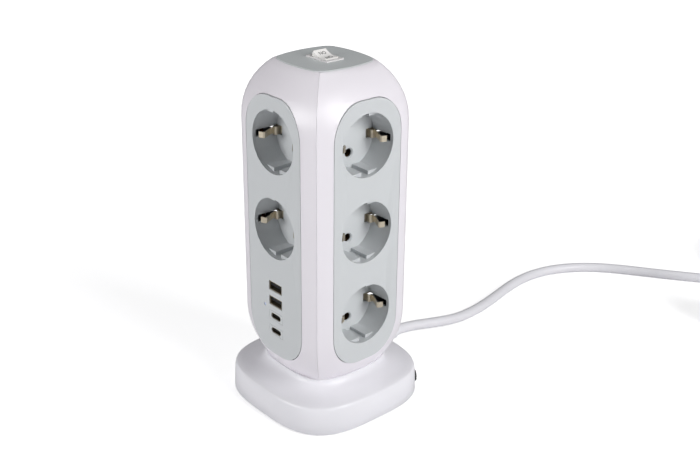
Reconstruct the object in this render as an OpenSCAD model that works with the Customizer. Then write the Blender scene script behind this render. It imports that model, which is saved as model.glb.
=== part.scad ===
// Tower power strip: a square tower with socket panels on four faces, a rocker
// switch on top and a flared base with a reset button and a mains lead.
// Millimetres, +Z up, origin on the floor under the middle of the tower.
// The two faces that show in front look along -Y (charging ports) and +X.

/* [Tower] */
// Distance across two opposite socket faces
tower_w = 80.8; // [78:0.2:86]
// Height of the top of the cap above the floor
tower_top = 229.6; // [226:0.2:240]
// Height of the foot of the tower above the floor
tower_foot = 29; // [28.5:0.5:32]
// How far the corner crease lies behind the two faces that it joins
corner_back = 3.9; // [3.5:0.1:4.4]
// Radius of the curve that closes the tower at the top
vault_r = 44.5; // [42:0.5:46]
// Angle through which the top curve turns
vault_turn = 55.4; // [52:0.2:57]
// Radius of the curve that draws the tower in at the foot
foot_r = 60; // [54:1:64]
// Angle through which the foot curve turns
foot_turn = 35; // [30:0.5:37]
// Wall of the two tower shells
shell_wall = 2.2; // [1.8:0.1:2.8]
// Gap along the seam of the two shells
seam_gap = 0.1; // [0.1:0.05:0.4]
// Thickness of the gray top cap
cap_t = 0.6; // [0.5:0.1:1]

/* [Socket panels] */
// Width of the opening that a panel fills
panel_w = 53.1; // [52:0.1:54]
// Thickness of a panel
panel_t = 3; // [2.4:0.1:3.6]
// Gap round a panel in its opening
panel_gap = 0.35; // [0.2:0.05:0.4]
// Drop from the panel's top edge to the middle of the highest socket
first_drop = 28.2; // [26.8:0.2:29.2]
// Distance between the middles of two sockets
socket_pitch = 56.2; // [54:0.2:57]
// Diameter of a socket's recess at its mouth
socket_d = 40; // [39:0.1:40.6]
// Diameter of the recess at its floor
socket_floor_d = 38.8; // [38:0.1:39]
// Depth of the recess
socket_depth = 17.6; // [17:0.1:17.9]
// Wall round the recess
well_wall = 1.1; // [0.9:0.1:1.2]
// Thickness of the recess floor
well_floor = 1.5; // [1.2:0.1:1.6]
// Distance between the two pin holes
pin_spacing = 19; // [18.6:0.1:19.4]
// Diameter of a pin hole
pin_hole_d = 5.4; // [5.2:0.1:6]
// Distance from the recess axis to the flat top of a guide rib
rib_at = 17.2; // [16.8:0.1:17.6]
// Distance from the mouth to the front of a guide rib
rib_setback = 3; // [2:0.1:4]
// Width of the groove in the middle of a guide rib
rib_groove = 5.3; // [4.5:0.1:6]
// Width of the slot in the wall that an earth clip stands in
clip_slot_w = 4.6; // [4:0.1:5]

// Width of the slot in the floor for the earth clip
clip_floor_w = 6; // [5.4:0.1:6.6]

/* [Charging ports] */
// Rise from the panel's bottom edge to the middle of the lowest port
port_rise = 16.9; // [15.7:0.1:18.7]
// Distance between the middles of two ports
port_pitch = 10.5; // [9.8:0.1:10.8]
// Width of a large port's mouth
port_a_w = 11.8; // [11.4:0.1:12.6]
// Height of a large port's mouth
port_a_h = 5.2; // [5:0.1:5.6]
// Width of a small port's surround
port_c_w = 13.6; // [13:0.1:14]
// Height of a small port's surround
port_c_h = 6.4; // [6:0.1:7]

/* [Switch] */
// Length of the switch frame along X
frame_l = 19.6; // [19:0.1:21]
// Width of the switch frame along Y
frame_w = 13.2; // [13:0.1:15]
// Length of the rocker
rocker_l = 13.6; // [13:0.1:14.4]
// Width of the rocker
rocker_w = 9.8; // [9.4:0.1:10]
// Angle of the rocker from level, on or off
rocker_tilt = 13; // [11:0.5:14]

/* [Base] */
// Width of the base at its widest
base_w = 108; // [104:0.5:112]
// Squareness of the base, from 2 for round upwards
base_square = 3.2; // [3.1:0.05:3.6]
// Height of the side band up to the start of its rounded lip
band_top = 15.6; // [14.6:0.2:16.4]
// Height of the lip, where the flare begins
lip_top = 20.8; // [20:0.1:21.6]
// Wall of the base
base_wall = 2.4; // [2:0.1:2.6]
// Thickness of the bottom plate
plate_t = 2; // [1.8:0.1:2.2]
// Thickness of a rubber foot below the plate
pad_t = 1.2; // [1:0.1:1.8]
// Diameter of a rubber foot
pad_d = 11; // [9:0.5:12]
// Diameter of the reset button
button_d = 7.6; // [7:0.1:8]
// Travel of the reset button when the breaker trips
button_travel = 2.5; // [2:0.1:3]

/* [Mains lead] */
// Diameter of the mains lead
cord_d = 7.6; // [7.6:0.1:7.8]
// Gap between neighbouring turns of the coil
turn_gap = 0.7; // [0.6:0.05:0.8]
// Inner radius of the coil, to the middle of the lead
coil_in_r = 29.6; // [29.6:0.1:30]
// Thickness of the strap that ties the coil
tie_t = 0.6; // [0.4:0.1:0.7]
// Diameter of the plug's body
plug_d = 37; // [36.6:0.1:37.4]
// Depth of the part of the plug that enters a socket
plug_engage = 16.5; // [16:0.1:17]
// Height of the plug's grip
plug_grip = 18; // [17:0.5:20]
// Diameter of a plug pin
pin_d = 4.8; // [4.7:0.05:4.9]
// Length of a plug pin
pin_l = 19; // [18:0.5:19]

/* [Hidden] */

shell_color = "#f0eef3";
panel_color = "#c9cecd";
cap_color = "#b3b8b8";
brass_color = "#c9a35a";
nickel_color = "#c8c2b4";
steel_color = "#a9abad";
dark_color = "#1c1c1e";
wire_r = 1.3;
lead_pitch = 2;
lead_bend = 5;
riser_in = 6.5;
hole_x = 8;
hole_y = 9.5;
eps = 0.05;
round_fn = 64;
sweep_fn = 180;
arc_steps = 8;

half_w = tower_w / 2;
corner = half_w - corner_back;
flat_half = panel_w / 2;
// A white strip is swept through the corner and the edge of the flat face: the
// distance of its axis behind the middle of the tower, and its radius
axis_back = (2 * pow(corner, 2) - pow(half_w, 2) - pow(flat_half, 2)) / (2 * corner_back);
sweep_r = norm([half_w + axis_back, flat_half]);
vault_start = tower_top - vault_r * sin(vault_turn);
foot_end = tower_foot + foot_r * sin(foot_turn);
// Set-back of the sweep at which the flat face is used up
flat_back = sweep_r - half_w - axis_back;
flat_top = vault_start + sqrt(pow(vault_r, 2) - pow(vault_r - flat_back, 2));
flat_foot = foot_end - sqrt(pow(foot_r, 2) - pow(foot_r - flat_back, 2));

panel_over = 1.4;
panel_half = flat_half - panel_gap;
panel_top = flat_top + panel_over;
panel_foot = flat_foot - panel_over;
panel_corner_w = 21;
panel_corner_h = 23;
panel_outline_steps = 9;

first_z = panel_top - first_drop;
mouth_r = socket_d / 2;
// Least distance from a socket's middle to the end of its panel or to a port
socket_clear = 26;

// Levels of the sockets that find room above a lowest place
function levels_above(low) =
  [for (i = [0:floor((first_z - low - socket_clear) / socket_pitch)]) first_z - i * socket_pitch];

port_levels = [for (i = [3:-1:0]) panel_foot + port_rise + i * port_pitch];
socket_levels = levels_above(panel_foot);
upper_levels = levels_above(port_levels[0]);
last_z = socket_levels[len(socket_levels) - 1];
well_in = half_w - socket_depth - well_floor;
pin_chamfer = 0.8;
clip_slot_depth = 2.4;
clip_slot_lift = 0.4;
clip_floor_in = 13.4;
clip_t = 0.6;
clip_play = 0.4;
clip_w = clip_slot_w - 2 * clip_play;
hook_w = clip_floor_w - 2 * clip_play;
clip_under = 0.3;
clip_stand = 3.2;
clip_kink = 2.2;
clip_reach = 6.1;

// The cap's ledge on the shells, the corner where two of its curved sides cross,
// and the set-back of its rounded corner
cap_ledge = 1.2;
cap_sweep_r = sweep_r - vault_r + (vault_r - cap_ledge) * cos(vault_turn);
cap_corner = (sqrt(2 * pow(cap_sweep_r, 2) - pow(axis_back, 2)) - axis_back) / 2;
cap_corner_back = 0.7;

shell_floor_t = 2.2;
shell_ceiling_t = 2.4;
shell_floor_half = 22;
// How far the cap's rounded corners reach from its middle
cap_reach = sqrt(2) * (cap_corner - cap_corner_back);
cap_hole_half = 16;
cap_skirt_t = 1.6;
cap_skirt_h = 5;
fit_gap = 0.3;
well_seat_gap = 0.1;
mouth_lip = 1.5;
boss_r = 3.3;
boss_h = 12;
boss_at = shell_floor_half + boss_r + 1.2 * fit_gap;
screw_r = 1.4;
screw_head_r = 2.8;
screw_head_t = 1.8;
screw_play = 0.15;

clip_seat = well_in - clip_under - clip_t;
core_half = clip_seat - fit_gap;
sleeve_in = 5;
sleeve_bore = pin_d + 0.02 * pin_d;
sleeve_wall = 0.7;
sleeve_r = sleeve_bore / 2 + sleeve_wall;
bar_t = 0.8;
bar_w = 6;
bar_in = 8;
bar_off = 6;
bar_over = 4.2;
earth_off = 11;
earth_w = 5;
spine_t = 1.4;
ring_gap = 3;

port_wall = 0.35;
port_play = 0.3;
port_deep = 13.6;
port_c_mouth_w = 8.9;
port_c_mouth_h = 3.2;
port_c_wall = 0.3;
tongue_a_h = 1.9;
tongue_c_h = 0.7;
tongue_back = 0.8;
tongue_c_w = 6.6;
surround_t = 2.2;
board_t = 1.6;
board_w = 44;
board_over = 8;
board_at = half_w - panel_t - port_deep;
post_r = 2;
lens_r = 1;
lens_off = 11.2;
lens_back = 0.3;

frame_t = 0.8;
body_drop = 19;
body_wall = 0.8;
rocker_gap = 0.25;
rocker_end_gap = 1.2;
body_l = rocker_l + 2 * rocker_end_gap + 2 * body_wall;
body_w = rocker_w + 2 * rocker_gap + 2 * body_wall;
pivot_r = 1.2;
pivot_play = 0.06;
pivot_drop = 1.6;
rocker_hub = 5;
rocker_rise = 2.9;
rocker_dip = 1.6;
rocker_end = 1.4;
rocker_lean = 0.7;
tab_w = 4.8;
tab_t = 0.8;
tab_l = 6.2;
tab_at = 6;

base_half = base_w / 2;
base_ring = 80;
flare_steps = 8;
flare_ledge = 0.9;
foot_mid = sweep_r - foot_r * (1 - cos(foot_turn)) - axis_back;
flare_top_half = foot_mid + flare_ledge;
lip_in = 1.3;
band_draft = 0.5;
band_round = 0.8;
base_hole_half = 13;
base_under = 2.6;
stud_r = 3.4;
stud_side_x = 18;
stud_side_y = 28;
stud_x = base_half - stud_side_x;
stud_y = base_half - stud_side_y;
plate_play = 0.3;
weight_gap = 0.6;
weight_l = 2 * (stud_x - stud_r - weight_gap);
weight_w = 42;
weight_t = 5;
weight_y = -9;
plate_top = pad_t + plate_t;
pad_recess = 1;
base_head_t = 0.8;
pad_play = 0.1;

button_side = 16;
button_x = base_half - button_side;
button_z = 7.8;
button_y = outline_y(base_half, button_x);
button_turn = atan2(pow(button_x, base_square - 1), pow(button_y, base_square - 1));
button_play = 0.08;
button_proud = 0.9;
stem_r = 2.4;
stem_guide = 4.5;
stem_l = button_travel + stem_guide;
bush_wall = 0.6;
breaker_l = 10;
breaker_w = 10;
breaker_h = 9;
breaker_in = 4.4;

// Free stretch of the mains lead, from the strain relief to the coil: the last
// number of a place is its height above a lead that lies on the floor
cord_places = [
  [-13, 76, 5.8], [-13, 84, 5.8], [-11.2, 96, 4.8], [-8.4, 109, 3.3], [-5.8, 122, 1.9],
  [-4.4, 134, 0.8], [-4.6, 147, 0.2], [-6.2, 162, 0], [-9, 177, 0], [-12.4, 192, 0],
  [-15.6, 207, 0], [-17.4, 222, 0], [-17, 237, 0], [-13.8, 252, 0], [-7.8, 266, 0],
  [0.8, 279, 0], [11.6, 290.5, 0], [24, 300.5, 0], [37.4, 310, 0], [51.2, 319.6, 0],
  [65, 329.6, 0], [79, 340, 0.1], [93, 350.5, 0.5], [107, 361, 0.8],
  [114.8, 366.85, 0.8], [122.6, 372.7, 0.8]
];
cord_points = [for (p = cord_places) [p[0], p[1], p[2] + cord_d / 2]];

exit_x = cord_points[0][0];
exit_z = cord_points[0][2];
relief_tip = cord_points[0][1];
relief_root_r = 6.4;
relief_tip_r = 4.7;
relief_flange_r = 5.6;
relief_flange_t = 2;
relief_neck_r = 5;
relief_tail = 16;
cover_in_half = base_half - band_draft - lip_in - base_wall / 2;
relief_flange_y = outline_y(cover_in_half, relief_flange_r - exit_x) - fit_gap;
tail_end = relief_flange_y - relief_flange_t - relief_tail;
clamp_l = 8;
clamp_w = 20;
clamp_t = 2;
clamp_screw_off = 7.2;
clamp_y = tail_end + 0.4 * relief_tail;
clamp_z = exit_z + cord_d / 2;
cord_sides = 10;
coil_sides = 6;
coil_rings = 24;
// Whole turns of the coil, before the part of a turn that brings the lead to its exit
coil_whole_turns = 5;
// Direction in which the lead runs into the coil
coil_heading = [0.8, 0.6];
coil_lift = cord_points[len(cord_points) - 1][2];
coil_pitch = cord_d + turn_gap;
coil_start_angle = atan2(-coil_heading[0], coil_heading[1]);
// The lead leaves the coil at its lowest y, along +X
coil_exit_angle = 270;
coil_turned = 360 * coil_whole_turns + coil_exit_angle - coil_start_angle;
// Turns in each of the coil's two layers
coil_turns = coil_turned / 720;
coil_out_r = coil_in_r + coil_pitch * coil_turns;
coil_start = [cord_points[len(cord_points) - 1][0], cord_points[len(cord_points) - 1][1]];
coil_touch = coil_start + cord_d * coil_heading;
coil_centre = coil_touch + coil_out_r * [-coil_heading[1], coil_heading[0]];
coil_top = coil_lift + coil_pitch;
coil_steps = round(2 * coil_turns * coil_rings);
coil_end = coil_centre + coil_out_r * [cos(coil_exit_angle), sin(coil_exit_angle)];
coil_end_way = [-sin(coil_exit_angle), cos(coil_exit_angle)];
lead_start = coil_end + cord_d * coil_end_way;
// The strap is half-way between the coil's entry and its exit, where both layers are level
tie_turn_share = (coil_exit_angle - coil_start_angle) / 720;
tie_angle = coil_start_angle + 360 * tie_turn_share;
tie_w = 9;
tie_gap = 0.2;
tie_inner_gap = 0.8;

boot_l = 22;
boot_tip_r = 4.6;
boot_root_r = 6.6;
plug_bend = 31;
plug_straight = 2;
plug_lead_steps = 12;
plug_z = 9.5;
plug_x = lead_start[0] + plug_straight + plug_bend;
boot_y = lead_start[1] - plug_bend - plug_straight;
plug_y = boot_y - boot_l - plug_d / 2;
plug_top = plug_grip + plug_engage;
plug_notch_w = 20;
plug_notch_in = 2.6;
plug_bead = 1.2;
grip_round = 4;
grip_over = 0.6;
plug_groove_w = 5.6;
plug_groove_in = 1.6;
contact_t = 0.6;
contact_w = 4;
earth_hole_r = 2.6;
earth_hole_at = 9;
pin_tip = 1.2;

function unit(v) = v / norm(v);
function clamped(i, n) = min(max(i, 0), n - 1);

// Direction of a route at one of its points
function way_at(route, i) =
  unit(route[clamped(i + 1, len(route))] - route[clamped(i - 1, len(route))]);

// Directions square to a route, carried along it without a twist
function square_to(way, v) = unit(v - (v * way) * way);
function ups_along(route) = [
  for (i = 0, up = square_to(way_at(route, 0), [0, 0, 1]); i < len(route);
    i = i + 1, up = i < len(route) ? square_to(way_at(route, i), up) : up) up];

// One ring of a tube round a point of its route
function ring_at(centre, way, up, r, sides) =
  let (side = cross(way, up))
  [for (k = [0:sides - 1])
    centre + r * (cos(360 * k / sides) * side + sin(360 * k / sides) * up)];

// Triangles that join rings of equal length, open at both ends
function skin(rings, sides) =
  [for (i = [0:rings - 2], k = [0:sides - 1], half = [0, 1])
    let (a = i * sides + k, b = i * sides + (k + 1) % sides, c = a + sides, d = b + sides)
    half == 0 ? [a, c, b] : [b, c, d]];

// Fans that close the first and the last ring
function fans(rings, sides) = concat(
  [for (k = [1:sides - 2]) [0, k, k + 1]],
  [for (k = [1:sides - 2]) let (s = (rings - 1) * sides) [s, s + k + 1, s + k]]);

// A closed tube of even thickness along a route
module tube(route, r, sides) {
  ups = ups_along(route);
  polyhedron(
    [for (i = [0:len(route) - 1]) each ring_at(route[i], way_at(route, i), ups[i], r, sides)],
    concat(skin(len(route), sides), fans(len(route), sides)));
}

// A flat strip of even thickness along a path, as an outline
function strip_side(path, t, side) =
  [for (i = [0:len(path) - 1])
    let (way = unit(path[clamped(i + 1, len(path))] - path[clamped(i - 1, len(path))]))
    path[i] + side * t / 2 * [-way[1], way[0]]];
function reversed(list) = [for (i = [len(list) - 1:-1:0]) list[i]];
function strip_outline(path, t) =
  concat(strip_side(path, t, 1), reversed(strip_side(path, t, -1)));

// Outline with elliptical corners, between two heights and centred sideways
function panel_outline(grow) = [
  for (q = [0:3], i = [0:panel_outline_steps])
    let (
      a = 90 * q + 90 * i / panel_outline_steps,
      mid_x = (q == 0 || q == 3 ? 1 : -1) * (panel_half - panel_corner_w),
      mid_z = q < 2 ? panel_top - panel_corner_h : panel_foot + panel_corner_h)
    [mid_x + (panel_corner_w + grow) * cos(a), mid_z + (panel_corner_h + grow) * sin(a)]];

// Turns a child that faces +X to the face that looks along the given angle
module on_face(angle) {
  rotate([0, 0, angle]) children();
}

// Puts a child on the +X face: its z runs into the tower and its x runs up
module at_socket(z) {
  translate([half_w, 0, z]) rotate([0, -90, 0]) children();
}

// An outline on the +X face, from one depth below the face to another
module face_plate(outline, deep, shallow) {
  translate([half_w - deep, 0, 0])
    rotate([90, 0, 90])
      linear_extrude(deep - shallow)
        polygon(outline);
}

// Side outline of a sweep, from its axis, drawn in by a wall
function sweep_profile(inset) = concat(
  [[0, foot_end - (foot_r - inset) * sin(foot_turn)]],
  [for (i = [0:arc_steps])
    let (a = foot_turn * (1 - i / arc_steps))
    [sweep_r - foot_r + (foot_r - inset) * cos(a), foot_end - (foot_r - inset) * sin(a)]],
  [for (i = [0:arc_steps])
    let (a = vault_turn * i / arc_steps)
    [sweep_r - vault_r + (vault_r - inset) * cos(a), vault_start + (vault_r - inset) * sin(a)]],
  [[0, vault_start + (vault_r - inset) * sin(vault_turn)]]);

// Form of the whole tower, drawn in by a wall: four flat faces and four sweeps
module tower_form(inset) {
  intersection() {
    translate([-half_w + inset, -half_w + inset, 0])
      cube([tower_w - 2 * inset, tower_w - 2 * inset, tower_top]);
    for_sweep(0, inset);
    for_sweep(90, inset);
    for_sweep(180, inset);
    for_sweep(270, inset);
  }
}

module for_sweep(angle, inset) {
  rotate([0, 0, angle])
    translate([-axis_back, 0, 0])
      rotate_extrude($fn = sweep_fn)
        polygon(sweep_profile(inset));
}

// A level slab that reaches past the tower on all sides
module slab(low, high) {
  translate([-tower_w, -tower_w, low])
    cube([2 * tower_w, 2 * tower_w, high - low]);
}

shell_ceiling = tower_top - cap_t - shell_ceiling_t;
shell_floor = tower_foot + shell_floor_t;

// Hollow inside of both shells
module tower_hollow() {
  intersection() {
    tower_form(shell_wall);
    slab(shell_floor, shell_ceiling);
  }
}

// One shell: the half of the tower on the side that the angle points to
module tower_shell(angle) {
  difference() {
    union() {
      difference() {
        intersection() {
          tower_form(0);
          slab(tower_foot, tower_top - cap_t);
          rotate([0, 0, angle])
            translate([seam_gap / 2, -tower_w, 0])
              cube([tower_w, 2 * tower_w, tower_top]);
        }
        tower_hollow();
        translate([-shell_floor_half, -shell_floor_half, 0])
          cube([2 * shell_floor_half, 2 * shell_floor_half, shell_floor + eps]);
        translate([-cap_hole_half, -cap_hole_half, shell_ceiling - eps])
          cube([2 * cap_hole_half, 2 * cap_hole_half, tower_top]);
      }
      for (turn = [angle - 45, angle + 45])
        rotate([0, 0, turn])
          translate([boss_at, 0, tower_foot])
            cylinder(h = boss_h, r = boss_r, $fn = round_fn);
    }
    for (turn = [angle - 45, angle + 45]) {
      on_face(turn) face_plate(panel_outline(panel_gap), 2 * panel_t, -panel_t);
      rotate([0, 0, turn])
        translate([boss_at, 0, tower_foot - eps])
          cylinder(h = boss_h - shell_floor_t, r = screw_r, $fn = round_fn);
    }
  }
}

module right_shell() {
  color(shell_color) tower_shell(45);
}

module left_shell() {
  color(shell_color) tower_shell(225);
}

// Gray cap on top, with a skirt that locates it in both shells
module top_cap() {
  skirt_half = cap_hole_half - fit_gap;
  color(cap_color)
    difference() {
      union() {
        intersection() {
          translate([0, 0, cap_ledge * sin(vault_turn)]) tower_form(cap_ledge);
          slab(tower_top - cap_t, tower_top);
          cylinder(h = 2 * tower_top, r = cap_reach, $fn = sweep_fn);
        }
        translate([-skirt_half, -skirt_half, tower_top - cap_t - cap_skirt_h])
          cube([2 * skirt_half, 2 * skirt_half, cap_skirt_h + cap_t / 2]);
      }
      translate([-skirt_half + cap_skirt_t, -skirt_half + cap_skirt_t, 0])
        cube([2 * (skirt_half - cap_skirt_t), 2 * (skirt_half - cap_skirt_t), tower_top - cap_t]);
      translate([-body_l / 2 - fit_gap, -body_w / 2 - fit_gap, 0])
        cube([body_l + 2 * fit_gap, body_w + 2 * fit_gap, 2 * tower_top]);
    }
}

// One socket's well, which seats behind the panel's lip
module well() {
  difference() {
    translate([0, 0, mouth_lip + well_seat_gap])
      cylinder(h = socket_depth + well_floor - mouth_lip - well_seat_gap,
        r1 = mouth_r + well_wall, r2 = socket_floor_d / 2 + well_wall, $fn = round_fn);
    well_inside();
  }
}

// Everything that is cut out of a well
module well_inside() {
  difference() {
    union() {
      cylinder(h = socket_depth, r1 = mouth_r, r2 = socket_floor_d / 2, $fn = round_fn);
      translate([0, 0, -panel_t]) cylinder(h = panel_t + eps, r = mouth_r, $fn = round_fn);
    }
    for (side = [-1, 1], half = [-1, 1])
      translate([
        side > 0 ? rib_at : -rib_at - mouth_r,
        half > 0 ? rib_groove / 2 : -rib_groove / 2 - mouth_r,
        rib_setback])
        cube([mouth_r, mouth_r, socket_depth]);
  }
  for (side = [-1, 1]) {
    translate([side * pin_spacing / 2, 0, socket_depth - eps])
      cylinder(h = well_floor + 2 * eps, d = pin_hole_d, $fn = round_fn);
    translate([side * pin_spacing / 2, 0, socket_depth - eps])
      cylinder(h = pin_chamfer + eps, r1 = pin_hole_d / 2 + pin_chamfer,
        r2 = pin_hole_d / 2, $fn = round_fn);
    clip_cut(side, clip_slot_w, clip_slot_depth);
    clip_cut(side, clip_floor_w, socket_depth - clip_slot_lift);
  }
}

// A slot for one end of an earth clip, from a depth down through the floor
module clip_cut(side, width, depth) {
  translate([-width / 2, side > 0 ? clip_floor_in : -mouth_r - well_wall - eps, depth])
    cube([width, mouth_r + well_wall + eps - clip_floor_in, socket_depth + well_floor]);
}

// A panel for the +X face with a mouth and a well's seat at each level
module socket_panel(levels) {
  difference() {
    face_plate(panel_outline(0), panel_t, 0);
    for (z = levels)
      at_socket(z) {
        well_inside();
        translate([0, 0, mouth_lip])
          cylinder(h = panel_t, r = mouth_r + well_wall + well_seat_gap, $fn = round_fn);
      }
  }
}

module socket_wells(levels) {
  color(panel_color)
    for (z = levels) at_socket(z) well();
}

module right_socket_panel() {
  color(panel_color) socket_panel(socket_levels);
}

module back_socket_panel() {
  color(panel_color) on_face(90) socket_panel(socket_levels);
}

module left_socket_panel() {
  color(panel_color) on_face(180) socket_panel(socket_levels);
}

module right_socket_wells() {
  socket_wells(socket_levels);
}

module back_socket_wells() {
  on_face(90) socket_wells(socket_levels);
}

module left_socket_wells() {
  on_face(180) socket_wells(socket_levels);
}

module front_socket_wells() {
  on_face(270) socket_wells(upper_levels);
}

// A block on the +X face, centred sideways and in height
module face_block(z, w, h, deep, shallow) {
  translate([half_w - deep, -w / 2, z - h / 2]) cube([deep - shallow, w, h]);
}

board_top = port_levels[0] + board_over;
board_foot = port_levels[3] - board_over;
post_off = board_w / 2 - 2 * post_r;

// The panel with two sockets, four ports and an indicator
module front_port_panel() {
  color(panel_color)
    on_face(270)
      difference() {
        socket_panel(upper_levels);
        for (i = [0, 1])
          face_block(port_levels[i], port_a_w + 2 * port_wall + 2 * port_play,
            port_a_h + 2 * port_wall + 2 * port_play, 2 * panel_t, -panel_t);
        for (i = [2, 3])
          face_block(port_levels[i], port_c_w, port_c_h, 2 * panel_t, -panel_t);
        translate([half_w - 2 * panel_t, -lens_off, lens_z])
          rotate([0, 90, 0])
            cylinder(h = 3 * panel_t, r = lens_r + fit_gap / 2, $fn = round_fn);
      }
}

// Posts that hold the charger's board off the panel
module board_posts() {
  color(panel_color)
    on_face(270)
      for (side = [-1, 1])
        translate([board_at, side * post_off, board_foot + 2 * post_r])
          rotate([0, 90, 0])
            cylinder(h = half_w - panel_t - board_at, r = post_r, $fn = round_fn);
}

lens_z = (port_levels[1] + port_levels[2]) / 2;

module indicator_lens() {
  color("#a9c4ef")
    on_face(270)
      translate([board_at, -lens_off, lens_z])
        rotate([0, 90, 0])
          cylinder(h = half_w - lens_back - board_at, r = lens_r, $fn = round_fn);
}

// Metal shell of a port: a box that is open to the front
module port_shell(z, w, h, wall, shallow) {
  difference() {
    face_block(z, w + 2 * wall, h + 2 * wall, half_w - board_at, shallow);
    face_block(z, w, h, half_w - board_at - wall, shallow - panel_t);
  }
}

module port_a_shells() {
  color(nickel_color)
    on_face(270)
      for (i = [0, 1]) port_shell(port_levels[i], port_a_w, port_a_h, port_wall, port_play);
}

// Insulating tongues in the large ports, above the middle
module port_a_tongues() {
  color(shell_color)
    on_face(270)
      for (i = [0, 1])
        face_block(port_levels[i] + port_a_h / 2 - tongue_a_h, port_a_w - 2 * port_play,
          tongue_a_h, half_w - board_at - port_wall, port_play + tongue_back);
}

// A block on the +X face whose two ends are round
module face_slot(z, w, h, deep, shallow) {
  face_block(z, w - h, h, deep, shallow);
  for (side = [-1, 1])
    translate([half_w - deep, side * (w - h) / 2, z])
      rotate([0, 90, 0])
        cylinder(h = deep - shallow, d = h, $fn = round_fn);
}

module port_c_surrounds() {
  color(panel_color)
    on_face(270)
      for (i = [2, 3])
        difference() {
          face_block(port_levels[i], port_c_w - port_play, port_c_h - port_play, surround_t, 0);
          face_slot(port_levels[i], port_c_mouth_w + 2 * port_c_wall + port_play,
            port_c_mouth_h + 2 * port_c_wall + port_play, panel_t, -panel_t);
        }
}

module port_c_shells() {
  color(nickel_color)
    on_face(270)
      for (i = [2, 3])
        difference() {
          face_slot(port_levels[i], port_c_mouth_w + 2 * port_c_wall,
            port_c_mouth_h + 2 * port_c_wall, half_w - board_at, port_play);
          face_slot(port_levels[i], port_c_mouth_w, port_c_mouth_h,
            half_w - board_at - port_c_wall, port_play - panel_t);
        }
}

module port_c_tongues() {
  color(dark_color)
    on_face(270)
      for (i = [2, 3])
        face_block(port_levels[i], tongue_c_w, tongue_c_h,
          half_w - board_at - port_c_wall, port_play + tongue_back);
}

module charger_board() {
  color("#2f6b45")
    on_face(270)
      translate([board_at - board_t, -board_w / 2, board_foot])
        cube([board_t, board_w, board_top - board_foot]);
}

part_off = 15;
part_w = 12;
part_deep = 10;
transformer_l = 16;
capacitor_r = 4;

module charger_transformer() {
  color("#d8b23c")
    on_face(270)
      translate([board_at, part_off - part_w / 2, port_levels[1] - transformer_l / 2])
        cube([part_deep, part_w, transformer_l]);
}

module charger_capacitors() {
  color(dark_color)
    on_face(270)
      for (i = [0, 2])
        translate([board_at, -part_off - capacitor_r / 4, port_levels[i]])
          rotate([0, 90, 0])
            cylinder(h = part_deep, r = capacitor_r, $fn = round_fn);
}

// Half of an earth clip: a broad hook that rises from under the floor, and a
// narrower finger that runs on towards the mouth and bends in to meet the plug
clip_stand_in = clip_floor_in + 4 * clip_t;
clip_turn_in = clip_stand_in + clip_kink;
clip_meet_in = mouth_r - clip_reach;
clip_stand_top = socket_depth - clip_stand;
hook_half = [
  [clip_floor_in + 2 * clip_t, socket_depth + well_floor + clip_under + clip_t / 2],
  [clip_stand_in - clip_t / 3, socket_depth + well_floor / 2],
  [clip_stand_in, socket_depth - clip_t],
  [clip_stand_in, clip_stand_top + clip_t],
  [clip_stand_in + clip_t, clip_stand_top],
  [clip_turn_in, clip_stand_top - clip_t / 2]
];
finger_half = [
  [clip_stand_in + clip_t, clip_stand_top],
  [clip_turn_in, clip_stand_top - clip_t / 2],
  [clip_turn_in, clip_stand_top - 3 * clip_t],
  [clip_meet_in + clip_t, 0.32 * socket_depth],
  [clip_meet_in, 0.27 * socket_depth],
  [clip_meet_in + clip_t, 0.23 * socket_depth],
  [clip_meet_in + 0.55 * clip_reach, 0.17 * socket_depth]
];
function mirrored(path) = [for (p = path) [-p[0], p[1]]];

module clip_strip(path, width) {
  translate([-width / 2, 0, 0])
    rotate([90, 0, 90])
      linear_extrude(width)
        polygon(strip_outline(path, clip_t));
}

module earth_clip() {
  clip_strip(concat(mirrored(reversed(hook_half)), hook_half), hook_w);
  clip_strip(finger_half, clip_w);
  clip_strip(mirrored(finger_half), clip_w);
}

module earth_clips() {
  color(nickel_color) {
    for (angle = [0, 90, 180])
      on_face(angle)
        for (z = socket_levels) at_socket(z) earth_clip();
    on_face(270)
      for (z = upper_levels) at_socket(z) earth_clip();
  }
}

ring_half = bar_in + bar_w + bar_t;
neutral_foot = last_z - pin_spacing / 2 - bar_over;
live_foot = neutral_foot - ring_gap;
live_top = socket_levels[0] + pin_spacing / 2 + bar_over;
neutral_top = live_top + bar_t + fit_gap;

// Contacts and bar of one face: side is -1 for neutral below, 1 for live above
module contact_comb(levels, side, low, high) {
  difference() {
    union() {
      translate([bar_in, side > 0 ? bar_off : -bar_off - bar_t, low])
        cube([bar_w, bar_t, high - low]);
      for (z = levels) {
        translate([bar_in, side > 0 ? sleeve_bore / 2 : -bar_off - bar_t / 2,
          z + side * pin_spacing / 2 - bar_t / 2])
          cube([bar_w, bar_off + bar_t / 2 - sleeve_bore / 2, bar_t]);
        translate([sleeve_in, 0, z + side * pin_spacing / 2])
          rotate([0, 90, 0])
            cylinder(h = core_half - sleeve_in, r = sleeve_r, $fn = round_fn);
      }
    }
    for (z = levels)
      translate([sleeve_in - eps, 0, z + side * pin_spacing / 2])
        rotate([0, 90, 0])
          cylinder(h = core_half, d = sleeve_bore, $fn = round_fn);
  }
}

// Square ring that joins the four combs of one pole
module bus_ring(z, outer, inner) {
  difference() {
    translate([-outer, -outer, z]) cube([2 * outer, 2 * outer, bar_t]);
    translate([-inner, -inner, z - eps]) cube([2 * inner, 2 * inner, bar_t + 2 * eps]);
  }
}

module live_bus() {
  color(brass_color) {
    for (angle = [0, 90, 180])
      on_face(angle)
        contact_comb(socket_levels, 1, live_foot, live_top);
    on_face(270)
      contact_comb(upper_levels, 1, live_foot, live_top);
    bus_ring(live_foot, ring_half, bar_in);
  }
}

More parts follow.
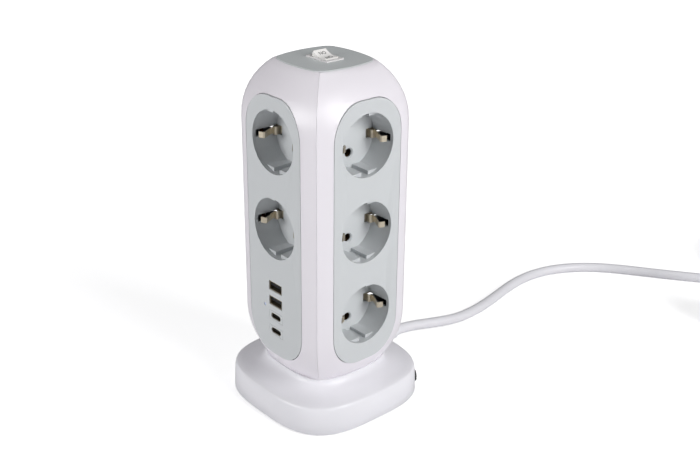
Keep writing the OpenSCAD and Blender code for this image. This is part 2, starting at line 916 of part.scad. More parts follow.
module neutral_bus() {
  color(brass_color) {
    for (angle = [0, 90, 180])
      on_face(angle)
        contact_comb(socket_levels, -1, neutral_foot, neutral_top);
    on_face(270)
      contact_comb(upper_levels, -1,
        upper_levels[len(upper_levels) - 1] - pin_spacing / 2 - bar_over, neutral_top);
    bus_ring(neutral_top - bar_t, ring_half, bar_in);
  }
}

earth_foot = live_foot - 6 * bar_t;
earth_ring_in = clip_seat - 2.4 * bar_t;

module earth_bus() {
  color(brass_color) {
    for (angle = [0, 90, 180, 270])
      on_face(angle)
        translate([clip_seat - bar_t, earth_off, earth_foot])
          cube([bar_t, earth_w, socket_levels[0] + bar_over - earth_foot]);
    bus_ring(earth_foot, clip_seat, earth_ring_in);
  }
}

spine_foot = live_foot + bar_t + ring_gap;
spine_top = neutral_top - bar_t - ring_gap;
spine_reach = sqrt(2) * (clip_seat - 2 * bar_t) - spine_t;
leg_in = sqrt(2) * ring_half + fit_gap;
leg_out = sqrt(2) * (earth_ring_in - fit_gap) - spine_t;

// Cross-shaped spine that the contact bars stand in, on four legs
module inner_spine() {
  color(shell_color) {
    for (angle = [45, 135])
      rotate([0, 0, angle])
        translate([-spine_reach, -spine_t / 2, spine_foot])
          cube([2 * spine_reach, spine_t, spine_top - spine_foot]);
    for (angle = [45, 135, 225, 315])
      rotate([0, 0, angle])
        translate([leg_in, -spine_t, tower_foot])
          cube([leg_out - leg_in, 2 * spine_t, spine_foot - tower_foot + ring_gap]);
  }
}

pivot_z = tower_top - pivot_drop;

// Switch frame and the body below it, open to the top
module switch_frame() {
  body_foot = tower_top - body_drop;
  color(shell_color)
    difference() {
      union() {
        translate([-frame_l / 2, -frame_w / 2, tower_top]) cube([frame_l, frame_w, frame_t]);
        translate([-body_l / 2, -body_w / 2, body_foot])
          cube([body_l, body_w, body_drop + frame_t / 2]);
      }
      translate([-rocker_l / 2 - rocker_end_gap, -rocker_w / 2 - rocker_gap, body_foot + body_wall])
        cube([rocker_l + 2 * rocker_end_gap, rocker_w + 2 * rocker_gap, body_drop + frame_t]);
      translate([0, body_w, pivot_z])
        rotate([90, 0, 0])
          cylinder(h = 2 * body_w, r = pivot_r + pivot_play, $fn = round_fn);
    }
}

// The rocker, in its off position with the end at +X pressed in
module rocker() {
  outline = concat(
    [[-rocker_l / 2, -rocker_end], [-rocker_l / 2, 0]],
    [for (i = [-arc_steps:arc_steps])
      let (share = i / arc_steps)
      [share * (rocker_l / 2 - rocker_lean),
        pivot_drop + rocker_dip + (rocker_rise - rocker_dip) * share * share]],
    [[rocker_l / 2, 0], [rocker_l / 2, -rocker_end]],
    [for (i = [0:arc_steps]) let (a = 180 * i / arc_steps)
      [rocker_hub * cos(a), -rocker_end - rocker_hub * sin(a)]]);
  color(shell_color)
    translate([0, 0, pivot_z])
      rotate([0, rocker_tilt, 0])
        rotate([90, 0, 0]) {
          translate([0, 0, -rocker_w / 2])
            linear_extrude(rocker_w)
              polygon(outline);
          translate([0, 0, -body_w / 2])
            cylinder(h = body_w, r = pivot_r, $fn = round_fn);
        }
}

module switch_terminals() {
  color(brass_color)
    for (x = [-tab_at, 0, tab_at])
      translate([x - tab_t / 2, -tab_w / 2, tower_top - body_drop - tab_l])
        cube([tab_t, tab_w, tab_l]);
}

// Radius of the base's outline at an angle, for a given half width
function base_radius(half, a) =
  half / pow(pow(abs(cos(a)), base_square) + pow(abs(sin(a)), base_square), 1 / base_square);

// How far the base's outline of a given half width reaches along Y at a place along X
function outline_y(half, x) = half * pow(1 - pow(abs(x) / half, base_square), 1 / base_square);

// Half width of the base's outline that passes through a place
function outline_half(x, y) =
  pow(pow(abs(x), base_square) + pow(abs(y), base_square), 1 / base_square);

// A closed solid that follows the base's outline; the profile is a closed loop
module base_loop(profile) {
  rings = len(profile);
  points = [
    for (p = profile, k = [0:base_ring - 1])
      let (a = 360 * k / base_ring, r = base_radius(p[0], a))
      [r * cos(a), r * sin(a), p[1]]];
  faces = [
    for (i = [0:rings - 1], k = [0:base_ring - 1], half = [0, 1])
      let (
        a = i * base_ring + k,
        b = i * base_ring + (k + 1) % base_ring,
        c = (i + 1) % rings * base_ring + k,
        d = (i + 1) % rings * base_ring + (k + 1) % base_ring)
      half == 0 ? [a, c, b] : [b, c, d]];
  polyhedron(points, faces);
}

// Flare from the lip up to the tower's foot: a quarter of an ellipse
function flare(low, high, in_half, out_half) = [
  for (i = [0:flare_steps])
    let (a = 90 * i / flare_steps)
    [out_half - (out_half - in_half) * sin(a), low + (high - low) * (1 - cos(a))]];

// Height of the flare above a half width
function flare_z(low, high, in_half, out_half, half) =
  let (share = min(1, max(0, (out_half - half) / (out_half - in_half))))
  low + (high - low) * (1 - sqrt(1 - share * share));

// The studs reach half-way into the cover's wall
stud_top = flare_z(lip_top, tower_foot, flare_top_half, base_half - band_draft - lip_in,
  outline_half(stud_x, stud_y) + stud_r) - base_wall / 2;

cover_outside = concat(
  [[base_half - band_round, pad_t], [base_half, pad_t + band_round],
    [base_half - band_draft, band_top]],
  [for (i = [1:3])
    let (a = 90 * i / 4)
    [base_half - band_draft - lip_in * (1 - cos(a)), band_top + (lip_top - band_top) * sin(a)]],
  flare(lip_top, tower_foot, flare_top_half, base_half - band_draft - lip_in));
cover_inside = concat(
  [[base_hole_half, tower_foot], [base_hole_half, tower_foot - base_under]],
  reversed(flare(lip_top - base_wall, tower_foot - base_under, flare_top_half - base_wall,
    cover_in_half)),
  [[base_half - band_draft - base_wall, band_top - base_wall / 2],
    [base_half - base_wall, pad_t]]);

// Flared cover of the base, with four screw studs and holes for the tower's screws
module base_cover() {
  color(shell_color)
    difference() {
      union() {
        base_loop(concat(cover_outside, cover_inside));
        at_studs()
          translate([0, 0, plate_top])
            cylinder(h = stud_top - plate_top, r = stud_r, $fn = round_fn);
      }
      at_studs()
        translate([0, 0, plate_top - eps])
          cylinder(h = stud_top - plate_top - base_wall, r = screw_r, $fn = round_fn);
      for (angle = [0, 90, 180, 270])
        rotate([0, 0, angle])
          translate([boss_at, 0, lip_top])
            cylinder(h = tower_foot, r = screw_r + screw_play, $fn = round_fn);
      translate([exit_x, base_half / 2, exit_z])
        rotate([-90, 0, 0])
          cylinder(h = base_half, r = relief_neck_r + screw_play, $fn = round_fn);
      at_button()
        translate([0, 0, -breaker_in])
          cylinder(h = 4 * breaker_in, r = button_d / 2 + button_play + bush_wall + screw_play,
            $fn = round_fn);
    }
}

// Puts a child at each of the base's four screw studs
module at_studs() {
  for (x = [-stud_x, stud_x], y = [-stud_y, stud_y])
    translate([x, y, 0]) children();
}

// Puts a child on the base's side where the button is: its z points outwards
module at_button() {
  translate([button_x, button_y, button_z])
    rotate([0, 0, -button_turn])
      rotate([-90, 0, 0])
        children();
}

plate_half = base_half - base_wall - band_draft - plate_play;

module base_plate() {
  color("#dcdbe0")
    difference() {
      translate([0, 0, pad_t])
        linear_extrude(plate_t)
          polygon([for (k = [0:base_ring - 1])
            let (a = 360 * k / base_ring, r = base_radius(plate_half, a))
            [r * cos(a), r * sin(a)]]);
      at_studs() {
        cylinder(h = tower_foot, r = screw_r + screw_play, $fn = round_fn);
        cylinder(h = pad_t + pad_recess, r = pad_d / 2 + screw_play, $fn = round_fn);
      }
    }
}

// Rubber feet, pressed into the recesses that hide the screws
module rubber_feet() {
  color("#3a3a3c")
    at_studs()
      cylinder(h = pad_t + pad_recess - base_head_t - pad_play, d = pad_d, $fn = round_fn);
}

// A screw whose head is at the bottom and whose shank points up
module screw(head_t, shank) {
  cylinder(h = head_t, r = screw_head_r, $fn = round_fn);
  cylinder(h = head_t + shank, r = screw_r - screw_play, $fn = round_fn);
}

module base_screws() {
  color(steel_color)
    at_studs()
      translate([0, 0, pad_t + pad_recess - base_head_t])
        screw(base_head_t, stud_top - plate_top - base_wall);
}

module tower_screws() {
  color(steel_color)
    for (angle = [0, 90, 180, 270])
      rotate([0, 0, angle])
        translate([boss_at, 0, tower_foot - base_under - screw_head_t])
          screw(screw_head_t, boss_h - shell_floor_t);
}

module base_weight() {
  color(steel_color)
    translate([-weight_l / 2, weight_y - weight_w / 2, plate_top])
      cube([weight_l, weight_w, weight_t]);
}

// Breaker: a block inside the base with a bushing through the side band
module breaker_body() {
  color(dark_color)
    at_button()
      difference() {
        union() {
          translate([-breaker_w / 2, button_z - plate_top - pad_play - breaker_h,
            -breaker_in - breaker_l])
            cube([breaker_w, breaker_h, breaker_l]);
          translate([0, 0, -breaker_in - eps])
            cylinder(h = breaker_in + eps, r = button_d / 2 + button_play + bush_wall,
              $fn = round_fn);
        }
        translate([0, 0, -breaker_in])
          cylinder(h = 2 * breaker_in, r = button_d / 2 + button_play, $fn = round_fn);
        translate([0, 0, -breaker_in - stem_l])
          cylinder(h = 2 * stem_l, r = stem_r + button_play, $fn = round_fn);
      }
}

button_slot = 0.5;

module reset_button() {
  head_l = breaker_in - fit_gap / 2 + button_proud;
  color(dark_color)
    at_button()
      difference() {
        union() {
          translate([0, 0, button_proud - head_l])
            cylinder(h = head_l, d = button_d, $fn = round_fn);
          translate([0, 0, -breaker_in - stem_l + fit_gap])
            cylinder(h = breaker_in + stem_l - fit_gap, r = stem_r, $fn = round_fn);
        }
        translate([-button_d, -button_slot / 2, button_proud - button_slot])
          cube([2 * button_d, button_slot, button_d]);
      }
}

module breaker_terminals() {
  color(brass_color)
    at_button()
      for (x = [-breaker_w / 4, breaker_w / 4])
        translate([x - tab_t / 2, -tab_w / 2, -breaker_in - breaker_l - tab_l])
          cube([tab_t, tab_w, tab_l]);
}

// Strain relief: a tapered boot outside the base, a neck through its wall and
// a flange behind it
module strain_relief() {
  color(shell_color)
    translate([exit_x, 0, exit_z])
      rotate([-90, 0, 0]) {
        translate([0, 0, base_half + screw_play])
          cylinder(h = relief_tip - base_half - screw_play, r1 = relief_root_r,
            r2 = relief_tip_r, $fn = round_fn);
        translate([0, 0, relief_flange_y - eps])
          cylinder(h = base_half - relief_flange_y + screw_play + 2 * eps, r = relief_neck_r,
            $fn = round_fn);
        translate([0, 0, relief_flange_y - relief_flange_t])
          cylinder(h = relief_flange_t, r = relief_flange_r, $fn = round_fn);
        translate([0, 0, tail_end])
          cylinder(h = relief_tail + eps, d = cord_d, $fn = round_fn);
      }
}

// Bar that holds the lead down inside the base, on two pillars
module lead_clamp() {
  color(shell_color)
    difference() {
      translate([exit_x - clamp_w / 2, clamp_y - clamp_l / 2, plate_top])
        cube([clamp_w, clamp_l, clamp_z + clamp_t - plate_top]);
      translate([exit_x, clamp_y - clamp_l, exit_z])
        rotate([-90, 0, 0])
          cylinder(h = 2 * clamp_l, r = cord_d / 2 + screw_play, $fn = round_fn);
      for (side = [-1, 1])
        translate([exit_x + side * clamp_screw_off, clamp_y, plate_top - eps])
          cylinder(h = 2 * clamp_z, r = screw_r, $fn = round_fn);
    }
}

module clamp_screws() {
  color(steel_color)
    for (side = [-1, 1])
      translate([exit_x + side * clamp_screw_off, clamp_y, clamp_z + clamp_t + screw_head_t])
        rotate([180, 0, 0])
          screw(screw_head_t, clamp_z + clamp_t - plate_top - screw_play);
}

// Insulated leads inside, from the end of the mains lead to their terminals
lead_side = lead_pitch * cos(30);
lead_down = lead_pitch * sin(30);
riser = corner - shell_wall - riser_in;
tab_z = tower_top - body_drop - tab_l;
tab_mid = tab_z + 0.3 * tab_l;
turn_z = tab_z + 0.4 * tab_l;

function between(a, b, share) = a + share * (b - a);

// A place beside the breaker: a depth behind the base's side and a side step
function at_breaker(depth, step) = [
  button_x - depth * sin(button_turn) + step * cos(button_turn),
  button_y - depth * cos(button_turn) - step * sin(button_turn),
  button_z];

// From the hole in the base to the top of a corner channel
function corner_climb(x_way, y_way) = [
  [x_way * hole_x, y_way * hole_y, tower_foot - lead_bend],
  [x_way * hole_x, y_way * (hole_y + lead_pitch / 2), tower_foot + lead_pitch],
  [x_way * between(hole_x, riser, 0.15), y_way * between(hole_y, riser, 0.3),
    tower_foot + 1.5 * lead_bend],
  [x_way * between(hole_x, riser, 0.45), y_way * between(hole_y, riser, 0.66),
    tower_foot + 2.4 * lead_bend],
  [x_way * between(hole_x, riser, 0.82), y_way * between(hole_y, riser, 0.92),
    tower_foot + 3.4 * lead_bend],
  [x_way * riser, y_way * riser, tower_foot + 5 * lead_bend],
  [x_way * riser, y_way * riser, first_z + lead_bend]];

// From the top of a corner channel inwards to a place beside the switch
function corner_return(x_way, y_way) = [
  [x_way * riser, y_way * (riser - lead_pitch / 2), turn_z - lead_bend / 2],
  [x_way * 0.84 * riser, y_way * 0.66 * riser, turn_z],
  [x_way * 0.64 * riser, y_way * 0.3 * riser, turn_z]];

module lead(route, tint) {
  color(tint) tube(route, wire_r, 8);
}

live_start = [exit_x + lead_side, tail_end, exit_z - lead_down];
neutral_start = [exit_x - lead_side, tail_end, exit_z - lead_down];
earth_start = [exit_x, tail_end, exit_z + lead_pitch];
breaker_tab = breaker_in + breaker_l + tab_l;
breaker_step = breaker_w / 4;

module live_in_lead() {
  near = at_breaker(breaker_tab + lead_bend, -breaker_step);
  lead([
    live_start, live_start - [0, lead_bend / 2, 0],
    between(live_start, near, 0.2) - [0, lead_bend, 0],
    between(live_start, near, 0.5) - [0, 1.2 * lead_bend, 0],
    between(live_start, near, 0.8) - [0, 0.8 * lead_bend, 0],
    near, at_breaker(breaker_tab, -breaker_step)
  ], "#7a4a2a");
}

module live_up_lead() {
  near = at_breaker(breaker_tab + lead_bend, breaker_step);
  low = [hole_x, hole_y, tower_foot - 2 * lead_bend];
  lead(concat(
    [at_breaker(breaker_tab, breaker_step), near,
      between(near, low, 0.35) - [0, 0, lead_bend / 3],
      between(near, low, 0.7) - [0, 0, lead_bend / 4], low],
    corner_climb(1, 1), corner_return(1, 1),
    [[tab_at + 1.1 * lead_bend, 0, tab_mid], [tab_at + tab_t / 2, 0, tab_mid]]
  ), "#2c2c30");
}

module live_down_lead() {
  ring_at = (bar_in + ring_half) / 2;
  lead([
    [-tab_at - tab_t / 2, 0, tab_mid], [-tab_at - 1.1 * lead_bend, 0, tab_mid],
    each reversed(corner_return(-1, -1)),
    [-riser, -riser, first_z + lead_bend], [-riser, -riser, live_foot + lead_bend],
    [-riser, -0.96 * riser, live_foot - lead_bend],
    [-0.86 * riser, -0.72 * riser, live_foot - 2.2 * lead_bend],
    [-0.64 * riser, -0.3 * riser, live_foot - 2.4 * lead_bend],
    [-ring_at - lead_pitch / 2, -1.1 * lead_bend, live_foot - 1.6 * lead_bend],
    [-ring_at, -lead_bend, live_foot - lead_bend / 2], [-ring_at, -lead_bend, live_foot]
  ], "#7a4a2a");
}

module neutral_lead() {
  ring_at = (bar_in + ring_half) / 2;
  low = [-hole_x, hole_y, tower_foot - 2 * lead_bend];
  lead([
    neutral_start, neutral_start - [0, 0.7 * lead_bend, 0],
    between(neutral_start, low, 0.55) - [0.6 * lead_bend, 0, lead_bend / 3],
    between(neutral_start, low, 0.8), low,
    each corner_climb(-1, 1), each corner_return(-1, 1),
    [-ring_at - lead_pitch / 2, 1.1 * lead_bend, turn_z],
    [-ring_at, lead_bend, neutral_top + lead_bend / 2], [-ring_at, lead_bend, neutral_top]
  ], "#3b6fb6");
}

module earth_lead() {
  ring_at = (earth_ring_in + clip_seat) / 2;
  lead([
    earth_start, earth_start - [0, 0.8 * lead_bend, 0],
    [between(exit_x, 0, 0.4), between(tail_end, hole_y, 0.6), exit_z + lead_bend],
    [between(exit_x, 0, 0.8), hole_y + lead_pitch, exit_z + 1.8 * lead_bend],
    [0, 0.9 * hole_y, tower_foot - 1.4 * lead_bend], [0, 0.4 * hole_y, tower_foot],
    [lead_pitch / 2, 0.8 * hole_y, tower_foot + 1.3 * lead_bend],
    [0.9 * lead_bend, 1.6 * hole_y, earth_foot - 1.8 * lead_bend],
    [1.2 * lead_bend, ring_at, earth_foot - lead_bend],
    [1.2 * lead_bend, ring_at, earth_foot]
  ], "#9bb53a");
}

module power_cord() {
  color(shell_color) tube(cord_points, cord_d / 2, cord_sides);
}

// Place on the coil after a share of its turns; u is 0 where the spiral reverses
function reversal(u) = abs(u) > 0.25 ? abs(u) : 2 * u * u + 0.125;
function climb(u) = let (s = min(max(2 * u + 0.5, 0), 1)) s * s * (3 - 2 * s);
function coil_point(i) =
  let (
    u = coil_turns * (2 * i / coil_steps - 1),
    r = coil_in_r + coil_pitch * reversal(u),
    a = coil_start_angle + coil_turned * i / coil_steps)
  [coil_centre[0] + r * cos(a), coil_centre[1] + r * sin(a), coil_lift + coil_pitch * climb(u)];

coil_route = concat(
  [[coil_start[0], coil_start[1], coil_lift]],
  [for (i = [0:coil_steps]) coil_point(i)],
  [[lead_start[0], lead_start[1], coil_top]]);

// Least gap between turns that are at least half a turn apart on the tube
coil_least_gap = min([
  for (i = [0:len(coil_route) - 1])
    for (j = [i + coil_rings / 2:len(coil_route) - 1])
      norm(coil_route[i] - coil_route[j])]) - cord_d;
echo(coil_least_gap = coil_least_gap);

module cord_coil() {
  color(shell_color) tube(coil_route, cord_d / 2, coil_sides);
}

// Strap round the bundle of turns
module coil_tie() {
  low_r = coil_in_r + coil_pitch / 2 - cord_d / 2 - tie_inner_gap;
  high_r = coil_out_r - coil_pitch * tie_turn_share + cord_d / 2 + tie_gap;
  top = coil_top + cord_d / 2 + tie_gap;
  color("#e4e3e8")
    translate([coil_centre[0], coil_centre[1], 0])
      rotate([0, 0, tie_angle])
        difference() {
          translate([low_r - tie_t, -tie_w / 2, 0])
            cube([high_r - low_r + 2 * tie_t, tie_w, top + tie_t]);
          translate([low_r, -tie_w, tie_t])
            cube([high_r - low_r, 2 * tie_w, top - tie_t]);
        }
}

// Height of the plug's lead after a share of its bend
function lead_drop(share) =
  let (s = max(0, 2 * share - 1)) coil_top + (plug_z - coil_top) * s * s * (3 - 2 * s);

plug_lead_points = concat(
  [[lead_start[0], lead_start[1], coil_top]],
  [for (i = [0:plug_lead_steps]) let (a = 90 * i / plug_lead_steps)
    [lead_start[0] + plug_straight + plug_bend * sin(a),
      lead_start[1] - plug_bend * (1 - cos(a)), lead_drop(i / plug_lead_steps)]],
  [[plug_x, boot_y, plug_z]]);

module plug_lead() {
  color(shell_color) tube(plug_lead_points, cord_d / 2, cord_sides);
}

// Puts a child on the plug, which lies on its back with the pins up
module at_plug() {
  translate([plug_x, plug_y, 0]) children();
}

module plug_boot() {
  color(shell_color)
    translate([plug_x, boot_y, plug_z])
      rotate([90, 0, 0])
        cylinder(h = boot_l, r1 = boot_tip_r, r2 = boot_root_r, $fn = round_fn);
}

// Plug body: a rounded grip and the part that enters a socket, with its notches
module plug_body() {
  body_r = plug_d / 2;
  color(shell_color)
    at_plug()
      difference() {
        union() {
          rotate_extrude($fn = round_fn)
            polygon(concat(
              [[0, 0]],
              [for (i = [0:arc_steps]) let (a = 90 * i / arc_steps)
                [body_r - grip_round + grip_round * sin(a), grip_round - grip_round * cos(a)]],
              [[body_r, plug_grip - grip_over], [body_r - grip_over, plug_grip],
                [body_r - grip_over, plug_top - plug_bead],
                [body_r - grip_over - plug_bead, plug_top], [0, plug_top]]));
          translate([-boot_root_r, 0, plug_z - boot_root_r])
            cube([2 * boot_root_r, body_r, 2 * boot_root_r]);
        }
        for (side = [-1, 1])
          translate([side > 0 ? body_r - plug_notch_in : -2 * body_r + plug_notch_in,
            -plug_notch_w / 2, plug_grip + plug_bead])
            cube([body_r, plug_notch_w, plug_top]);
        for (side = [-1, 1])
          translate([-plug_groove_w / 2,
            side > 0 ? body_r - plug_groove_in : -2 * body_r + plug_groove_in,
            plug_grip + plug_bead])
            cube([plug_groove_w, body_r, plug_top]);
        translate([0, earth_hole_at, plug_top - plug_engage])
          cylinder(h = plug_top, r = earth_hole_r, $fn = round_fn);
        for (x = [-pin_spacing / 2, pin_spacing / 2])
          translate([x, 0, plug_grip])
            cylinder(h = plug_top, d = pin_d, $fn = round_fn);
      }
}

module plug_pins() {
  color(nickel_color)
    at_plug()
      for (x = [-pin_spacing / 2, pin_spacing / 2])
        translate([x, 0, plug_grip]) {
          cylinder(h = plug_engage + pin_l - pin_tip, d = pin_d, $fn = round_fn);
          translate([0, 0, plug_engage + pin_l - pin_tip])
            cylinder(h = pin_tip, d1 = pin_d, d2 = pin_d - pin_tip, $fn = round_fn);
        }
}

// Two earth strips in the grooves of the plug's sides
module plug_earth_contact() {
  color(nickel_color)
    at_plug()
      for (side = [-1, 1])
        translate([-contact_w / 2,
          side > 0 ? plug_d / 2 - plug_groove_in : -plug_d / 2 + plug_groove_in - contact_t,
          plug_grip + plug_bead])
          cube([contact_w, contact_t, plug_engage - plug_bead]);
}

right_shell();
left_shell();
top_cap();
right_socket_panel();
back_socket_panel();
left_socket_panel();
front_port_panel();
board_posts();
right_socket_wells();
back_socket_wells();
left_socket_wells();
front_socket_wells();
earth_clips();
live_bus();
neutral_bus();
earth_bus();
inner_spine();
port_a_shells();
port_a_tongues();
port_c_surrounds();
port_c_shells();
port_c_tongues();
charger_board();
charger_transformer();
charger_capacitors();
indicator_lens();
switch_frame();
rocker();
switch_terminals();
base_cover();
base_plate();
rubber_feet();
base_screws();
tower_screws();
base_weight();
breaker_body();
reset_button();
breaker_terminals();
live_in_lead();
live_up_lead();
live_down_lead();
neutral_lead();
earth_lead();
lead_clamp();
clamp_screws();
strain_relief();
power_cord();
cord_coil();
coil_tie();
plug_lead();
plug_boot();
plug_body();
plug_pins();
plug_earth_contact();
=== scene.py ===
import math

import bmesh
import bpy
from mathutils import Matrix, Vector


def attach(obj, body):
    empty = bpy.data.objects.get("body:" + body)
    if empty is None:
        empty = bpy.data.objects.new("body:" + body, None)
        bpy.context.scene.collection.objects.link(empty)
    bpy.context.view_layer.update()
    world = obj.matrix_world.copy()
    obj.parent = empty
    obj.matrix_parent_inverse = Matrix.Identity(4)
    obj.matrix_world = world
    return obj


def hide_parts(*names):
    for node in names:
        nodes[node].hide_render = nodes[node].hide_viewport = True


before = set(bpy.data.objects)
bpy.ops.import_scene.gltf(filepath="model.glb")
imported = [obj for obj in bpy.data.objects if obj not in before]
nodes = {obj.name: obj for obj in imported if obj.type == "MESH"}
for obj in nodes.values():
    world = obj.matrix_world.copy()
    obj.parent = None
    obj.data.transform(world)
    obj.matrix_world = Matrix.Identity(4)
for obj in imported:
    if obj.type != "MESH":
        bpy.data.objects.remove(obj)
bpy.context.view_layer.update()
MM = 0.001


def mm(*xyz):
    return Vector(xyz) * MM


# Patterns on plastic and metal: noise scales per metre, and heights in metres
NOISE_MIDDLE = 0.5
DRIFT_SCALE = 22.0
GRAIN_HEIGHT = 0.0001
SCRATCH_STRETCH = (900.0, 900.0, 60.0)
SCRATCH_SCALE = 3.0
SCRATCH_HEIGHT = 0.00005
TARNISH_SCALE = 180.0
TARNISH_FROM = 0.5
TARNISH_TO = 0.75

# Sockets of a Mix node that mixes colours, which share their names with its other sockets
MIX_A = 6
MIX_B = 7
MIX_OUT = 2


def new_group(name, inputs):
    """A node group with these inputs, that puts out a tone, a gloss and a normal."""
    group = bpy.data.node_groups.new(name, "ShaderNodeTree")
    for label, kind, value in inputs:
        socket = group.interface.new_socket(label, in_out="INPUT", socket_type=kind)
        socket.default_value = value
    for label, kind in (("Tone", "NodeSocketColor"), ("Gloss", "NodeSocketFloat"),
                        ("Normal", "NodeSocketVector")):
        group.interface.new_socket(label, in_out="OUTPUT", socket_type=kind)
    return group, group.nodes.new("NodeGroupInput"), group.nodes.new("NodeGroupOutput")


def add(tree, kind, **values):
    """Adds a node: in_ values are its inputs by name, the others its settings."""
    node = tree.nodes.new(kind)
    for key, value in values.items():
        if key.startswith("in_"):
            node.inputs[key[3:].replace("_", " ")].default_value = value
        else:
            setattr(node, key, value)
    return node


def moulded_group():
    """Moulded plastic: a fine spark-eroded grain, slow tone drift and gloss drift."""
    group, start, end = new_group("moulded_grain", [
        ("Tone", "NodeSocketColor", (0.8, 0.8, 0.8, 1)),
        ("Drift", "NodeSocketFloat", 0.03),
        ("Gloss", "NodeSocketFloat", 0.4),
        ("Gloss Drift", "NodeSocketFloat", 0.05),
        ("Grain Size", "NodeSocketFloat", 2500.0),
        ("Grain Depth", "NodeSocketFloat", 0.05)])
    link = group.links.new
    place = add(group, "ShaderNodeTexCoord")
    slow = add(group, "ShaderNodeTexNoise", in_Scale=DRIFT_SCALE, in_Detail=3.0, in_Roughness=0.5)
    link(place.outputs["Object"], slow.inputs["Vector"])
    fine = add(group, "ShaderNodeTexNoise", in_Detail=2.0, in_Roughness=0.6)
    link(place.outputs["Object"], fine.inputs["Vector"])
    link(start.outputs["Grain Size"], fine.inputs["Scale"])
    centred = add(group, "ShaderNodeMath", operation="SUBTRACT")
    link(slow.outputs["Fac"], centred.inputs[0])
    centred.inputs[1].default_value = NOISE_MIDDLE
    tone_step = add(group, "ShaderNodeMath", operation="MULTIPLY_ADD")
    link(centred.outputs[0], tone_step.inputs[0])
    link(start.outputs["Drift"], tone_step.inputs[1])
    tone_step.inputs[2].default_value = 1.0
    tone = add(group, "ShaderNodeVectorMath", operation="SCALE")
    link(start.outputs["Tone"], tone.inputs[0])
    link(tone_step.outputs[0], tone.inputs["Scale"])
    gloss = add(group, "ShaderNodeMath", operation="MULTIPLY_ADD")
    link(centred.outputs[0], gloss.inputs[0])
    link(start.outputs["Gloss Drift"], gloss.inputs[1])
    link(start.outputs["Gloss"], gloss.inputs[2])
    bump = add(group, "ShaderNodeBump", in_Distance=GRAIN_HEIGHT)
    link(start.outputs["Grain Depth"], bump.inputs["Strength"])
    link(fine.outputs["Fac"], bump.inputs["Height"])
    link(tone.outputs[0], end.inputs["Tone"])
    link(gloss.outputs[0], end.inputs["Gloss"])
    link(bump.outputs["Normal"], end.inputs["Normal"])
    return group


def stamped_group():
    """Stamped or plated metal: fine scratches along one axis and faint tarnish."""
    group, start, end = new_group("stamped_metal", [
        ("Tone", "NodeSocketColor", (0.8, 0.8, 0.8, 1)),
        ("Tarnish", "NodeSocketColor", (0.4, 0.35, 0.3, 1)),
        ("Tarnish Share", "NodeSocketFloat", 0.25),
        ("Gloss", "NodeSocketFloat", 0.3),
        ("Scratches", "NodeSocketFloat", 0.15)])
    link = group.links.new
    place = add(group, "ShaderNodeTexCoord")
    stretch = add(group, "ShaderNodeMapping", in_Scale=SCRATCH_STRETCH)
    link(place.outputs["Object"], stretch.inputs["Vector"])
    scratches = add(group, "ShaderNodeTexNoise", in_Scale=SCRATCH_SCALE, in_Detail=3.0)
    link(stretch.outputs[0], scratches.inputs["Vector"])
    cloud = add(group, "ShaderNodeTexNoise", in_Scale=TARNISH_SCALE, in_Detail=4.0,
                in_Roughness=0.6)
    link(place.outputs["Object"], cloud.inputs["Vector"])
    patches = add(group, "ShaderNodeMapRange", in_From_Min=TARNISH_FROM, in_From_Max=TARNISH_TO)
    link(cloud.outputs["Fac"], patches.inputs["Value"])
    share = add(group, "ShaderNodeMath", operation="MULTIPLY")
    link(patches.outputs[0], share.inputs[0])
    link(start.outputs["Tarnish Share"], share.inputs[1])
    tone = add(group, "ShaderNodeMix", data_type="RGBA")
    link(share.outputs[0], tone.inputs[0])
    link(start.outputs["Tone"], tone.inputs[MIX_A])
    link(start.outputs["Tarnish"], tone.inputs[MIX_B])
    gloss = add(group, "ShaderNodeMath", operation="MULTIPLY_ADD")
    link(scratches.outputs["Fac"], gloss.inputs[0])
    link(start.outputs["Scratches"], gloss.inputs[1])
    link(start.outputs["Gloss"], gloss.inputs[2])
    bump = add(group, "ShaderNodeBump", in_Distance=SCRATCH_HEIGHT)
    link(start.outputs["Scratches"], bump.inputs["Strength"])
    link(scratches.outputs["Fac"], bump.inputs["Height"])
    link(tone.outputs[MIX_OUT], end.inputs["Tone"])
    link(gloss.outputs[0], end.inputs["Gloss"])
    link(bump.outputs["Normal"], end.inputs["Normal"])
    return group


# Materials, with colours as they look on a screen, from 0 to 255
MOULDED = moulded_group()
STAMPED = stamped_group()


def srgb(*rgb):
    """A screen colour as the linear colour that Blender works with."""
    linear = []
    for value in rgb:
        share = value / 255
        linear.append(share / 12.92 if share <= 0.04045 else ((share + 0.055) / 1.055) ** 2.4)
    return (*linear, 1)


def finish_with(name, group, metallic, **inputs):
    """A material whose tone, gloss and normal come from a node group."""
    material = bpy.data.materials.new(name)
    material.use_nodes = True
    tree = material.node_tree
    principled = tree.nodes["Principled BSDF"]
    effect = tree.nodes.new("ShaderNodeGroup")
    effect.node_tree = group
    for key, value in inputs.items():
        effect.inputs[key.replace("_", " ")].default_value = value
    tree.links.new(effect.outputs["Tone"], principled.inputs["Base Color"])
    tree.links.new(effect.outputs["Gloss"], principled.inputs["Roughness"])
    tree.links.new(effect.outputs["Normal"], principled.inputs["Normal"])
    principled.inputs["Metallic"].default_value = metallic
    material.diffuse_color = inputs["Tone"]
    return material


def plastic(name, rgb, gloss=0.38, drift=0.03, grain=0.08, size=2500.0):
    return finish_with(name, MOULDED, 0.0, Tone=srgb(*rgb), Gloss=gloss, Drift=drift,
                       Grain_Depth=grain, Grain_Size=size)


def metal(name, rgb, gloss=0.28, tarnish=(120, 100, 80), share=0.25):
    return finish_with(name, STAMPED, 1.0, Tone=srgb(*rgb), Gloss=gloss,
                       Tarnish=srgb(*tarnish), Tarnish_Share=share)


